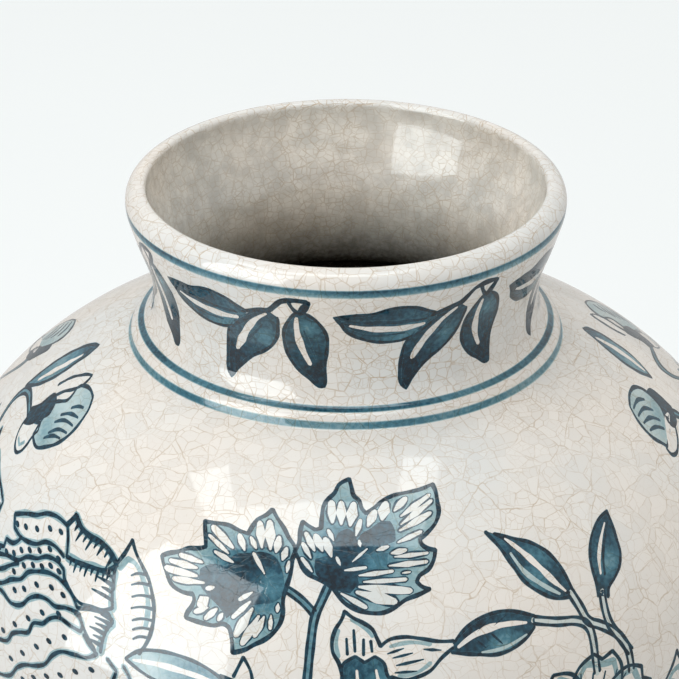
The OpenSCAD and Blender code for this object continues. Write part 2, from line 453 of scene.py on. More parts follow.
class Paint:
    """One piece of painted decoration, gathered stroke by stroke and built as thin faces on the glaze."""

    def __init__(self, name):
        self.name = name
        self.phi, self.s, self.lift, self.ink = [], [], [], []
        self.faces = []
        self.count = 0
        self.place()

    def place(self, turn=0.0, down=0.0, flip=1.0, shift=0.0):
        """Where the next strokes go: degrees round the pot, mm down it, their scale across (negative
        to mirror them) and mm to shift them across."""
        self.turn, self.down, self.flip, self.shift = math.radians(turn), down, flip, shift

    def lay(self, points, lifts, inks, faces):
        """Adds faces whose points are given in the motif's own mm."""
        x, s = points[:, 0], points[:, 1] + self.down
        self.phi.append(self.turn + (self.shift + self.flip * x) / radius(s))
        self.s.append(s)
        self.lift.append(lifts)
        self.ink.append(inks)
        base = self.count
        if self.flip > 0:
            self.faces += [tuple(base + v for v in face) for face in faces]
        else:
            self.faces += [tuple(base + v for v in reversed(face)) for face in faces]
        self.count += len(points)

    def stroke(self, points, width, dark=0.97, layer=1, taper=0.0, closed=False):
        """A brush line. width is a number, or one per point; taper thins both ends over that many mm."""
        wide = np.array(width if np.ndim(width) else [width] * len(points), float)
        at = 0
        for run in runs(points, TURN, closed):
            p, q = curve(run, LINE_STEP)
            if len(run) > 1 and np.ndim(width):
                marks = np.concatenate([[0.0], np.cumsum(np.hypot(*np.diff(np.array(run), axis=0).T))])
                w = np.interp(q, marks, wide[at:at + len(run)])
                at += len(run) - 1
            else:
                w = np.full(len(p), wide[0])
            w = w * (1.0 + 0.13 * np.sin(q * 0.9 + rng.uniform(0, 6.28)))
            if taper:
                w = w * np.clip(0.3 + 0.7 * np.minimum(q, q[-1] - q) / taper, 0.3, 1.0)
            t = np.gradient(p, axis=0)
            t /= np.hypot(*t.T)[:, None]
            cap = 0.4 * np.array([w[0], w[-1]])
            p = np.concatenate([[p[0] - t[0] * cap[0]], p, [p[-1] + t[-1] * cap[1]]])
            t = np.concatenate([t[:1], t, t[-1:]])
            w = np.concatenate([[0.35 * w[0]], w, [0.35 * w[-1]]])
            side = np.stack([-t[:, 1], t[:, 0]], axis=1)
            core, rim = np.maximum(w / 2 - 0.05, 0.02), w / 2 + 0.06
            cross = np.stack([-rim, -core, core, rim], axis=1)
            verts = (p[:, None, :] + cross[:, :, None] * side[:, None, :]).reshape(-1, 2)
            n = len(p)
            high = LIFT[layer]
            lifts = np.tile([RIM, high, high, RIM], n)
            faded = dark * RIM_INK[layer]
            ink = np.tile([faded, dark, dark, faded], n)
            faces = []
            for i in range(n - 1):
                for j in range(3):
                    a = 4 * i + j
                    faces.append((a, a + 1, a + 5, a + 4))
            self.lay(verts, lifts, ink, faces)

    def fill(self, outline, tone, layer=0):
        """A wash inside a closed outline; tone is how dark it is, or a function of x and s."""
        edge = np.concatenate([curve(run, EDGE_STEP)[0][:-1] for run in runs(outline, TURN, True)])
        low, high = edge.min(axis=0), edge.max(axis=0)
        grid = np.mgrid[low[0]:high[0]:WASH_STEP, low[1]:high[1]:WASH_STEP].reshape(2, -1).T + 0.31
        clear = np.min(np.hypot(*(grid[:, None, :] - edge[None, :, :]).transpose(2, 0, 1)), axis=1) > 0.45
        points = np.concatenate([edge, grid[inside(grid, edge) & clear]])
        rim = [(i, (i + 1) % len(edge)) for i in range(len(edge))]
        verts, _, faces, _, _, _ = delaunay_2d_cdt([Vector(v) for v in points], rim, [], 0, 1e-4, False)
        verts = np.array([v[:] for v in verts])
        faces = np.array(faces)
        faces = faces[inside(verts[faces].mean(axis=1), edge)][:, ::-1]
        used, faces = np.unique(faces, return_inverse=True)
        verts = verts[used]
        faces = [tuple(face) for face in faces.reshape(-1, 3).tolist()]
        ink = tone(verts[:, 0], verts[:, 1]) if callable(tone) else np.full(len(verts), tone)
        self.lay(verts, np.full(len(verts), LIFT[layer]), ink, faces)

    def spot(self, x, s, rx, rs, dark, layer=2, lean=0.0):
        """An oval touch of the brush."""
        a = np.arange(12) * math.pi / 6
        u, v = rx * np.cos(a), rs * np.sin(a)
        c, d = math.cos(lean), math.sin(lean)
        verts = np.concatenate([[[x, s]], np.stack([x + c * u - d * v, s + d * u + c * v], axis=1)])
        faces = [(0, 1 + (i + 1) % 12, 1 + i) for i in range(12)]
        self.lay(verts, np.full(13, LIFT[layer]), np.full(13, dark), faces)

    def finish(self, material):
        phi, s, lift = np.concatenate(self.phi), np.concatenate(self.s), np.concatenate(self.lift)
        ink = {"ink": np.clip(np.concatenate(self.ink), 0.0, 1.0)}
        return build(self.name, phi, s, lift, self.faces, material, ink)


def pools(base, *spots):
    """A wash that thickens or thins around (x, s, reach, change) spots."""
    def tone(x, s):
        ink = np.full(len(x), float(base))
        for px, ps, reach, change in spots:
            ink = ink + change * np.exp(-((x - px) ** 2 + (s - ps) ** 2) / (reach * reach))
        return np.clip(ink, 0.0, 1.0)
    return tone


# ------------------------------------------------------------------ motifs, in mm on the unrolled glaze
# b is the Paint that a motif is added to.


def edged(b, outline, tone, edges, width, taper=0.0):
    """A washed shape with only these parts of its outline drawn."""
    b.fill(outline, tone)
    for edge in edges:
        b.stroke(edge, width, taper=taper)


def veined(b, outline, tone, vein, widths):
    """A washed leaf, drawn all round, with a bare vein."""
    b.fill(outline, tone)
    b.stroke(outline, 0.8, 0.94, closed=True)
    b.stroke(vein, widths, 0, 2)


def neck_spray(b):
    """A sprig under the lip: one long leaf, an arched stem and two leaves that hang from it."""
    top = [(-48.2, -30.4), (-44, -31), (-40, -31.2), (-36.5, -32.3), (-33, -32.7), (-29.5, -32),
           (-26.5, -30.6), (-23.2, -29.2)]
    low = [(-48.2, -30.4), (-46, -28.5), (-44, -26), (-41, -24), (-37, -22.4), (-33, -21.8), (-29, -22.3),
           (-27.5, -23.2)]
    tone = pools(0.8, (-35, -30, 7, 0.08), (-45, -29, 4, 0.15), (-30, -23.5, 6, -0.22))
    edged(b, top + low[:0:-1], tone, (top, low), 0.9, 2)
    b.stroke([(-46, -29), (-42, -28.8), (-37, -28.3), (-31, -28), (-26, -28)],
             [0.5, 1.1, 1.4, 1.2, 0.8], 0.9)
    b.stroke([(-44.5, -27), (-41, -25), (-36, -24.2), (-30, -24.3)], [0.5, 0.9, 0.8, 0.5], 0.85)
    b.stroke([(-43.6, -27.7), (-38, -26.4), (-34, -26), (-30, -25.9), (-26, -26.4)],
             [0.5, 1.5, 1.9, 1.7, 1], 0, 2)
    right = [(-15.8, -29), (-15.7, -26), (-16, -22.5), (-17.3, -19.5), (-19.5, -17.3), (-21.5, -16),
             (-24, -13.8), (-26.3, -11.3), (-28.1, -8.6)]
    left = [(-28.1, -8.6), (-29, -10.5), (-29.1, -14), (-28.9, -17), (-28.8, -20), (-28.3, -22.6)]
    tone = pools(0.82, (-27.5, -11.5, 5.5, 0.25), (-19, -22, 3, -0.2), (-24, -29, 3, 0.08))
    edged(b, right + left[1:] + [(-23.2, -28.6), (-18.5, -31)], tone, (right, left), 0.9, 1)
    b.stroke([(-27.8, -22), (-26, -24.3), (-23, -27.3), (-19, -30.4)], [0.8, 1.3, 1.3, 0.9], 0.92)
    b.stroke([(-24, -19.5), (-21.5, -22.5), (-19.5, -25.8)], [0.5, 0.9, 0.5], 0.85)
    b.stroke([(-18.6, -29.5), (-21, -27.3), (-23.3, -23.5), (-25, -19.5), (-26.3, -16.5)],
             [0.6, 1.2, 1.8, 2, 1], 0, 2)
    b.stroke([(-27.9, -10), (-27.5, -12.5), (-26, -14.5)], [0.6, 1.9, 2.4], 0.97, 2)
    right = [(-9.6, -31.4), (-7, -29.3), (-5.2, -26.5), (-4.3, -23.5), (-4.3, -20), (-4.8, -16),
             (-4.8, -12), (-4.8, -9.9)]
    left = [(-4.8, -9.9), (-6, -10), (-8.5, -12), (-11.5, -14.5), (-13.3, -17.5), (-14.2, -21),
            (-14.3, -24.5), (-13.3, -28), (-11.4, -31.4)]
    tone = pools(0.83, (-8.5, -26.5, 2.6, -0.25), (-5.8, -13, 4.2, 0.25), (-12.5, -22, 2, 0.08))
    edged(b, right + left[1:], tone, (right, left), 0.9, 1)
    b.stroke([(-9.6, -25.5), (-8.3, -21), (-6.8, -17)], [0.5, 0.9, 0.5], 0.85)
    b.stroke([(-11.3, -29.5), (-11.3, -26), (-10.8, -22.5), (-9.6, -18.5), (-8.2, -15.5)],
             [0.6, 1.3, 1.6, 1.5, 0.8], 0, 2)
    b.stroke([(-5.1, -10.6), (-5.8, -12.6), (-7.2, -14)], [0.8, 1.9, 1.5], 0.97, 2)
    b.stroke([(-24.5, -28.8), (-20, -30.4), (-18, -30.8), (-16.5, -32.5), (-15, -34.2), (-13, -34.8),
              (-9, -34.8)],
             [1.2, 1.5, 1.7, 1.5, 1.3, 1.6, 1.2])
    b.stroke([(-8.6, -34.6), (-9.6, -32.6), (-10.4, -31)], [1.4, 1.9, 1.6])
    b.stroke([(-13.2, -34.4), (-12.4, -32.7), (-11.2, -31.2)], [1.1, 0.9, 1.2])


MAPLE_LEFT = (
    [(-13.3, 41.5), (-12.3, 38), (-12, 35), (-11.3, 32.5), (-13, 29.5), (-14, 27.5), (-15.5, 25.3),
     (-16.6, 23.3), (-18, 24.8), (-20, 26.2), (-21.2, 28), (-22.2, 30), (-24.5, 29.5), (-27, 28.7),
     (-30, 28.8), (-32.8, 29), (-32.5, 32), (-32.3, 34.8), (-34, 35.5), (-36.5, 36), (-39, 37.3),
     (-42, 38.5), (-43.3, 39.3), (-43, 40.5), (-42, 42.5), (-40.5, 45), (-38, 46), (-35.2, 46),
     (-34.8, 47), (-35.3, 48.7), (-36.5, 50.5), (-36.8, 51.5), (-33, 51.9), (-30, 52), (-27.5, 51.3),
     (-26.5, 51.8), (-25.8, 54), (-25.5, 57.3), (-22.5, 56.2), (-20.5, 54.9), (-18.5, 53.8), (-16.3, 52),
     (-14.6, 49.5), (-14, 47), (-14, 44.2)],
    [(-25.5, 35.5), (-22, 34.5), (-18.5, 33.8), (-15.5, 35), (-14.5, 37), (-13.8, 40), (-14, 43),
     (-16, 45), (-20, 46), (-24, 47.5), (-27, 50), (-28.5, 48), (-31, 46), (-33.5, 43.5), (-33.5, 40),
     (-31, 38.5), (-27, 38.5)],
    [(-31.5, 32, -26.8, 35.3, 1), (-30, 35.5, -25.6, 37.2, 1), (-30.5, 30, -25.8, 33.8, 1.8),
     (-24.2, 30.7, -23, 34, 1.3), (-21.5, 30.8, -20.3, 33.2, 1), (-19.5, 27, -19, 32.8, 1.6),
     (-17.2, 26.5, -17, 33, 1.8), (-15, 30, -15.7, 33.5, 1.4), (-13.3, 32.5, -14.2, 35.2, 1.2),
     (-12.7, 35.5, -13.2, 38, 0.8), (-42, 41.7, -34.3, 41.8, 1.5), (-41, 39.8, -34.3, 40, 1.3),
     (-38.5, 38, -33, 38.5, 1.2), (-40, 43.6, -32.5, 43, 1.2), (-33.5, 48, -31.5, 46.2, 1.8),
     (-31.8, 44.2, -30, 43.5, 0.9), (-34.5, 49.8, -31.5, 48.3, 1), (-32, 50.8, -29.3, 48.2, 1.2),
     (-28.9, 50.6, -27.9, 49, 0.9), (-25.5, 49.5, -21.5, 45.5, 1), (-24.8, 53.3, -21, 47, 1.6),
     (-23.3, 55, -19.5, 48.5, 1.4), (-20.5, 53, -18.3, 48.5, 1.2), (-16.9, 51, -16.7, 48, 0.8),
     (-15.3, 47, -15.1, 45.3, 0.7), (-20.8, 34.5, -18.3, 38.8, 0.9), (-24, 45.4, -21, 43.3, 0.8)],
    (-22, 40.5),
)
MAPLE_RIGHT = (
    [(-4.2, 40.2), (-6.5, 39), (-8.5, 38), (-9.8, 36.5), (-10.5, 34.8), (-11.5, 33), (-10.5, 31),
     (-10.2, 28), (-9.7, 25.6), (-8.5, 26.5), (-6.8, 27.5), (-5.5, 27), (-5.3, 24), (-4.8, 21),
     (-3.8, 19.5), (-2.5, 18), (-1.5, 15.8), (0.8, 14.3), (1.3, 16.5), (1.8, 18.7), (3, 20), (3.6, 22),
     (4.6, 23.3), (6.2, 22.2), (8, 20.5), (10.5, 19.2), (14, 18.6), (17, 18.2), (19.9, 17.3),
     (20.7, 19.5), (21, 22), (21.3, 24.5), (20.5, 27), (18.5, 29.2), (16.8, 30.5), (17, 31.5),
     (18.3, 32.8), (20.3, 33.5), (20, 35.5), (18.8, 37.7), (16.5, 39.2), (16, 40.3), (16.8, 41.3),
     (18.9, 42.4), (16.5, 43.3), (13.5, 44.2), (11, 45.8), (8.5, 46.8), (5, 46.7), (2, 45.8),
     (-0.5, 44.2), (-2, 42.2), (-2.6, 41.3)],
    [(-6.8, 34.5), (-4.5, 33.8), (-2.6, 33.5), (-2.5, 30.5), (-1.5, 28), (0.5, 27), (2, 28.2), (2.5, 30),
     (4, 28), (5.5, 27.2), (7.5, 25.7), (10, 25.5), (11, 27.5), (11.2, 30.5), (9, 31.2), (6, 32),
     (9.5, 33.3), (9.3, 36), (6, 36.5), (2.5, 38), (3, 40), (1, 42.3), (-1.5, 41.7), (-3.5, 41),
     (-4.5, 39.8), (-6.5, 38.3)],
    [(-3.2, 20.5, -3, 25.5, 1.8), (-1, 20.5, -1, 26, 1.6), (1.8, 20.8, 1, 26.3, 1.8),
     (3.3, 25, 2.3, 28.8, 1), (-3.9, 27.5, -2.7, 30, 0.8), (-4.5, 29.8, -3.2, 33.8, 1.6),
     (-6.7, 29, -5.2, 32.5, 1.6), (-8.9, 28.5, -7, 32.5, 1.3), (-9.6, 31, -7.8, 34.3, 1),
     (-9.8, 34.5, -7.5, 37.5, 0.9), (6.5, 23, 5, 26.5, 1.6), (9, 21, 8.2, 25, 2),
     (13.5, 20.2, 11, 23, 1.5), (19, 20, 12.5, 24.5, 1.2), (19.5, 21.5, 12.5, 26.5, 1.2),
     (19.2, 24.5, 12.2, 28, 1.3), (17, 28.8, 11.8, 30.8, 1), (13.5, 32.8, 10.3, 33.3, 1.1),
     (18.5, 34, 11, 34.2, 0.8), (18.3, 36, 9.8, 36.2, 1), (14.5, 38, 12.7, 38.1, 0.5),
     (9.5, 31.7, 7, 32.4, 0.8), (10.5, 37.5, 3, 38.2, 0.9), (13.5, 39.6, 4, 39.7, 0.9),
     (14.5, 42.3, 3, 40.8, 1.6), (11, 44.5, 2.5, 42, 2), (4.5, 45.5, -1, 42.3, 1),
     (4.5, 36.4, -0.2, 37, 0.8), (4.8, 32, 1.5, 35, 0.5), (-2, 34, -1.2, 35.8, 0.8),
     (3, 30, 3.3, 31.5, 0.6)],
    (1.5, 34),
)


def maple(b, leaf):
    """A lobed leaf: pale margin, dark flooded middle, and bare streaks that run in from its edge."""
    outline, core, streaks, (cx, cs) = leaf
    b.fill(outline, pools(0.34, (cx, cs, 10, 0.45)))
    b.fill(core, pools(0.86, (cx, cs, 6, 0.1), (cx + 5, cs + 1, 4, -0.3), (cx - 5, cs + 6, 4, 0.12),
                       (cx + 2, cs - 6, 3, 0.12), (cx - 6, cs - 1, 3, -0.12)), 1)
    for grow, dark, layer in ((1, 0.9, 1), (0, 0.05, 3)):
        for x0, s0, x1, s1, width in streaks:
            line = [(x0, s0), ((x0 + x1) / 2, (s0 + s1) / 2), (x1, s1)]
            widths = [0.8 * width + 0.75 * grow, 1.3 * width + 0.8 * grow, 0.35 * width + 0.9 * grow]
            b.stroke(line, widths, dark, layer)
    b.stroke(outline, 0.95, 0.95, 2, closed=True)


def stem(b, points, width=2.0, wash=0.55):
    """A washed stem between two dark lines."""
    p, _ = curve(points, 2.0)
    t = np.gradient(p, axis=0)
    t /= np.hypot(*t.T)[:, None]
    side = np.stack([-t[:, 1], t[:, 0]], axis=1) * (width / 2 - 0.3)
    b.stroke(points, width - 0.4, wash, 0)
    b.stroke(p + side, 0.7, 0.95)
    b.stroke(p - side, 0.7, 0.95)


def tulip(b):
    """A half-open flower with a striped petal, a blue cup and one petal folded out to the right."""
    left = [(-0.2, 46.3), (-0.8, 48), (-2.2, 50.3), (-3, 53), (-2.8, 55.5), (-1.5, 57.8), (-0.8, 60.5),
            (-0.6, 65), (1, 70), (4.5, 73.5)]
    right = [(0, 46.5), (1.5, 47.7), (4, 49), (6, 50.5), (7, 52.5), (7.8, 54.2)]
    cup = [(-0.8, 60.5), (-0.5, 58), (1, 57), (2.2, 56.4), (4.2, 57.8), (6.5, 56.5), (8.5, 58),
           (9.2, 60.5), (11.5, 64), (12, 68), (9.5, 72), (4.5, 73.5), (1, 70), (-0.6, 65)]
    b.fill(cup, pools(0.74, (2, 64, 5, 0.12), (9, 63, 3, -0.25), (6, 71, 5, 0.15)))
    b.stroke(cup, 0.75, 0.93, closed=True)
    b.stroke([(2.5, 59.5), (3, 64), (4.5, 69)], [0.5, 1, 0.5], 0, 2)
    b.stroke([(6.8, 59.5), (7.5, 64), (7, 69)], [0.5, 0.9, 0.5], 0, 2)
    b.stroke(left, 0.85)
    b.stroke(right, 0.85)
    b.stroke([(-1.6, 50.6), (-2.1, 53.4), (-1.6, 56.4)], 0.9, 0.4, 0)
    b.stroke([(1.3, 48.2), (4, 49.8), (6, 52)], 0.9, 0.4, 0)
    for x0, s0, x1, s1 in ((0.2, 52.4, 0.4, 55.9), (1.8, 50.5, 2.1, 55.3), (4, 52.6, 4, 56.1),
                           (5.6, 53, 5.9, 55.4)):
        b.stroke([(x0, s0), (x1, s1)], 0.6, 0.93)
    top = [(7.8, 54.3), (9.5, 53), (13, 52.5), (17, 53.2), (21, 54.2), (24.3, 54.5)]
    low = [(24.3, 56), (21.5, 58), (19, 60.5), (16.5, 61.5), (13, 62), (10.2, 61.2)]
    b.stroke(top, 0.8)
    b.stroke(low, 0.8)
    b.stroke([(10, 54.4), (14, 53.8), (19, 54.6)], 0.9, 0.35, 0)
    b.stroke([(12, 61), (16, 60.6), (19, 58.8)], 0.9, 0.35, 0)
    for x0, s0, x1, s1 in ((9.3, 56, 13, 55), (10.5, 57, 15, 56.2), (11.3, 58.7, 17.5, 57.8),
                           (11, 60.3, 16, 60.3), (17.5, 55.6, 21.5, 56.2)):
        b.stroke([(x0, s0), (x1, s1)], 0.65, 0.93, taper=2)


def vein_leaf(b):
    """A dark lance-shaped leaf with a bare vein."""
    top = [(24.5, 55), (27, 52.3), (30, 50.6), (34, 49.9), (38, 50.2), (41, 51.3), (44, 52.6)]
    low = [(44, 55), (42, 56.8), (39, 58.4), (35, 59.1), (30, 58.3), (24, 57)]
    edged(b, top + low, pools(0.86, (36, 57.6, 4, -0.35), (30, 53, 4, 0.1)), (top, low), 0.85)
    b.stroke([(31, 58), (36, 58), (42, 56.2)], [0.4, 0.8, 0.4], 0.25, 2)
    b.stroke([(25.5, 56), (29, 54), (33, 53), (37, 52.9), (42, 53.6)], [0.6, 1.4, 1.6, 1.2, 0.5], 0, 2)
    for x0, s0, x1, s1 in ((30, 53.2, 33, 50.8), (34, 52.6, 37, 50.9), (33, 54, 36, 57),
                           (29.5, 54.8, 32, 57.2)):
        b.stroke([(x0, s0), (x1, s1)], 0.45, 0.97, 2, taper=1)


def cross(b):
    """Two slim leaves on stems that cross above a round flower."""
    low = [(32.4, 31.3), (36, 35.8), (39, 40.5), (42, 44.7), (46, 48), (50, 50.2), (53.5, 50.8)]
    mid = [(34.5, 32.2), (37.5, 34.5), (41.5, 38.5), (46, 43), (50, 47), (53, 49.8)]
    tone = pools(0.78, (50, 49, 5, 0.12), (40, 39, 4, 0.1), (45, 45.5, 4, -0.2))
    edged(b, low + mid[::-1] + [(32.6, 31.2)], tone, (low,), 0.8)
    b.stroke([(38.5, 37.5), (42, 42.5), (46, 46), (51, 49.5)], [0.4, 0.9, 0.9, 0.5], 0.25, 2)
    up = [(34.5, 32.2), (39, 34.2), (44, 36.5), (48, 39.5), (51, 43), (53, 46.5), (54.5, 49.5)]
    inner = [(53.5, 50), (50, 46.5), (45, 41), (40, 36)]
    edged(b, up + inner, pools(0.8, (46, 39, 5, -0.12), (52, 46, 4, 0.1), (38, 34.5, 3, 0.1)), (up,), 0.8)
    b.stroke(inner[::-1], 0.7)
    b.stroke(mid, 0.7)
    b.stroke([(37.2, 33.9), (40.6, 37), (45.4, 41.9), (50, 46.8), (52.6, 49.3)],
             [0.4, 1.1, 1.3, 1.1, 0.4], 0, 2)
    left = [(67, 36.3), (64, 37.2), (61.5, 39.5), (60.3, 43), (60.5, 46.5), (61.5, 50), (61.8, 53)]
    right = [(64.8, 54), (65, 52.3), (67, 50.8), (69, 48.8), (69.7, 46), (69, 43), (68, 39), (67, 36.3)]
    tone = pools(0.8, (65.8, 47, 3, -0.28), (66, 39, 3, 0.1), (63, 52, 3, 0.12))
    edged(b, left + right[:-1], tone, (left, right), 0.85)
    b.stroke([(65.8, 38.5), (64, 41.5), (62.9, 45), (63, 48.5)], [0.4, 1, 1, 0.5], 0, 2)
    b.stroke([(66.8, 38.5), (65.3, 41.5), (64.2, 45), (64.2, 49)], [0.4, 0.7, 0.8, 0.6], 0.95, 2)
    for line in ([(44, 53.5), (50, 55.3), (56, 56.8), (58.5, 58.5), (59.5, 61), (60.3, 66), (60.8, 69.5)],
                 [(54, 50), (56.5, 54), (58.5, 57.3), (62, 59.3), (66, 62), (69.5, 66), (71.2, 72.5)],
                 [(63, 52.5), (63.3, 55), (64.5, 59.3), (67.5, 63.5), (71, 68)]):
        stem(b, line, 2.1, 0.15)


def dotted(b, dots):
    """Small oval touches at these places."""
    for x, s in dots:
        b.spot(x, s, 0.95, 0.62, 0.92, lean=0.15)


def combs(b, edge, depth, gap, lean):
    """Teeth that run in from a petal's edge, thick at the root, towards lean, over a pale wash."""
    p, _ = curve(edge, gap)
    b.stroke(edge, 2.2, 0.4, 0)
    for k, (x, s) in enumerate(p[1:-1]):
        reach = depth * (0.7 + 0.4 * (k % 2)) * rng.uniform(0.85, 1.15)
        tip = (x + lean[0] * reach, s + lean[1] * reach)
        b.stroke([(x, s), (0.5 * (x + tip[0]), 0.5 * (s + tip[1]) - 0.1), tip], [1.1, 0.75, 0.3], 0.93)


PEONY_ROWS = (
    ([(-93, 46.5), (-88, 44.5), (-84, 43.3), (-80, 41.5), (-76, 40.8), (-72, 41.3), (-71.3, 43.5),
      (-71, 47.2)],
     [(-91, 47.8), (-87.3, 47), (-82.8, 45.8), (-78, 44), (-74, 43.3)]),
    ([(-93, 46.5), (-92, 48.8), (-89, 49.6), (-85, 49.4), (-82, 48.7), (-79, 47.2), (-75.5, 46.8),
      (-72, 47.8)],
     [(-93.5, 54.6), (-90.3, 53.7), (-87.5, 52), (-84.3, 50.8), (-80.6, 49.6), (-77, 48), (-73.6, 48.9)]),
    ([(-98, 55), (-95, 54), (-94.5, 52.2), (-91, 51.8), (-89.5, 50.8), (-88.3, 49.6)], []),
    ([(-97.6, 56.5), (-93, 55.2), (-88, 54.3), (-85, 52.5), (-81, 51.4), (-77.5, 49.8), (-73, 49.8),
      (-71.5, 50.5), (-71, 52.5)],
     [(-89.3, 57.2), (-85.7, 54.6), (-82.3, 53.3), (-79, 52.4), (-76, 51.2), (-73, 51.4)]),
    ([(-97.6, 59.5), (-95, 58.8), (-91, 56.5), (-88, 54.9)], []),
    ([(-97.6, 62.5), (-94, 61.5), (-90, 59.2), (-86, 57.5), (-84, 55.5), (-80.5, 54), (-76, 52.8),
      (-72, 53), (-68, 55), (-66.3, 57)],
     [(-88.2, 60.8), (-84.6, 59.2), (-80.2, 56.7), (-75, 55.5), (-71, 55.8)]),
    ([(-97.6, 63.5), (-93.5, 63), (-89, 64), (-85, 62.8), (-82.5, 60.5), (-79, 58.8), (-76, 58.5),
      (-73.5, 59), (-70, 58.2), (-66, 58)],
     [(-91.8, 71.3), (-87.2, 68), (-82.3, 64.8), (-77.5, 61.8), (-72, 60.2)]),
    ([(-97.6, 75), (-93, 74), (-90, 73), (-88, 70.5), (-85, 69), (-82, 67.8), (-80.5, 65.3), (-77, 64),
      (-75, 62.3), (-72, 61), (-68, 61.5), (-65, 61.8), (-64.5, 60.5), (-65.3, 59), (-67, 58.3)],
     [(-88.5, 76.8), (-84, 73.5), (-79, 70), (-74.8, 67.2), (-69.8, 64.6)]),
    ([(-97.6, 84), (-94, 83.5), (-89, 81.5), (-86, 78), (-83, 76), (-80, 75), (-76, 73), (-73.5, 70),
      (-71, 68.3), (-67, 67.5), (-62.5, 66.8), (-60, 65.2), (-62, 64), (-64, 62.2)],
     [(-84, 80.2), (-80, 78), (-75.5, 75.8), (-71, 73.8), (-66.3, 71.3), (-61.5, 69.3)]),
    ([(-97.6, 91), (-90, 89.5), (-82, 85), (-78, 82), (-73, 80.5), (-69, 78), (-65, 76), (-60, 74),
      (-56, 71), (-54.5, 67.5), (-57, 65.5)],
     [(-76, 84), (-71, 82), (-66, 79.4), (-61, 76.6), (-56.5, 73)]),
    ([(-97.6, 99), (-88, 97), (-80, 93), (-74, 89), (-68, 86.5), (-62, 83.5), (-56, 79.5), (-51.5, 74),
      (-50.5, 69), (-52.5, 66)], []),
)


def peony_half(b):
    """Half a full flower seen from the side: scalloped rows edged in blue, each with a line of dots."""
    for edge, dots in PEONY_ROWS:
        b.stroke(edge, 1.6, 0.34, 0)
        b.stroke(edge, 0.92, 0.93)
        dotted(b, dots)
    crown = [(-72, 41), (-69.5, 38.3), (-67.5, 40), (-64, 41), (-60, 41.3), (-57.5, 42.5), (-55.5, 44.5)]
    b.stroke(crown, 1.4, 0.95)
    combs(b, crown[1:], 3.6, 1.7, (-0.55, 0.85))
    second = [(-71, 47.5), (-68, 47.6), (-63, 47.2), (-58, 46.5), (-56, 45)]
    b.stroke(second, 1.1, 0.95)
    combs(b, second, 2.4, 1.8, (-0.3, 0.95))
    combs(b, [(-56, 46), (-56.3, 50), (-56, 54)], 5.0, 1.5, (-1.0, -0.12))
    b.stroke([(-56, 45), (-56.3, 50), (-56, 54), (-58, 55), (-62, 55.5), (-66, 55.7), (-69, 54),
              (-71, 52)], 0.8, 0.93)
    third = [(-66, 57), (-60, 55.8), (-57, 55.5), (-55.8, 57), (-57, 58.5), (-58.5, 62), (-59, 64.5)]
    b.stroke(third, 0.85, 0.94)
    combs(b, third[2:], 4.2, 1.5, (-1.0, -0.1))
    b.stroke([(-65.5, 58), (-63.5, 61.5), (-60.5, 64.5)], 0.8, 0.94)
    side = [(-56, 50), (-55.5, 44.5), (-53.5, 41.5), (-51.6, 38), (-50.3, 40.5), (-48.3, 43), (-46.7, 45),
            (-45.5, 48), (-44.8, 52), (-45.3, 56), (-47, 60), (-48.5, 62)]
    b.stroke(side, 0.9, 0.95)
    wash = [(-54.6, 45), (-52.5, 42.4), (-50.8, 42.6), (-47.8, 46), (-46.4, 51), (-47, 56)]
    b.stroke(wash, 1.3, 0.4, 0)
    for s, reach in ((44.5, 4.2), (46.5, 5), (49, 5.5), (51.5, 6), (54, 5.4), (56, 5), (58, 4)):
        x = float(np.interp(s, [43, 45, 48, 52, 56, 60], [-48.3, -46.7, -45.5, -44.8, -45.3, -47]))
        b.stroke([(x, s), (x - reach * 0.6, s + 0.3), (x - reach, s + 1.2)], [0.75, 0.55, 0.35], 0.93)
    leaf = [(-52, 64), (-48, 61.2), (-44, 60.3), (-38, 60.2), (-32, 61.5), (-26.5, 64.5), (-31, 66.8),
            (-37, 67.6), (-43, 67.2), (-48, 65.8)]
    veined(b, leaf, pools(0.42, (-34, 63, 6, 0.15), (-46, 64, 4, -0.2)),
           [(-50, 63.8), (-43, 63.2), (-36, 63.6), (-29, 64.6)], [0.5, 1.3, 1.3, 0.5])
    b.stroke([(-25.3, 62.6), (-23, 58), (-21.3, 61), (-21, 66)], 0.75, 0.93)


def peony(b, turn=0.0, down=0.0, flip=1.0):
    """The full flower, its far half mirrored about x = -97 and a little narrower."""
    centre, narrow = -97.0, 0.72
    b.place(turn, down, flip)
    peony_half(b)
    b.place(turn, down, -flip * narrow, flip * centre * (1 + narrow))
    peony_half(b)
    b.place(turn, down, flip)


def striped(b, body, tone, stripes):
    """The pale striped body of a bud."""
    b.fill(body, tone)
    b.stroke(body, 0.8, 0.93, closed=True)
    for line in stripes:
        b.stroke(line, [0.45, 0.9, 0.5], 0.85, 2)


def calyx(b, outline):
    """The dark cup at a bud's root."""
    b.fill(outline, 0.92, 2)
    b.stroke(outline, 0.7, 0.97, 3, closed=True)


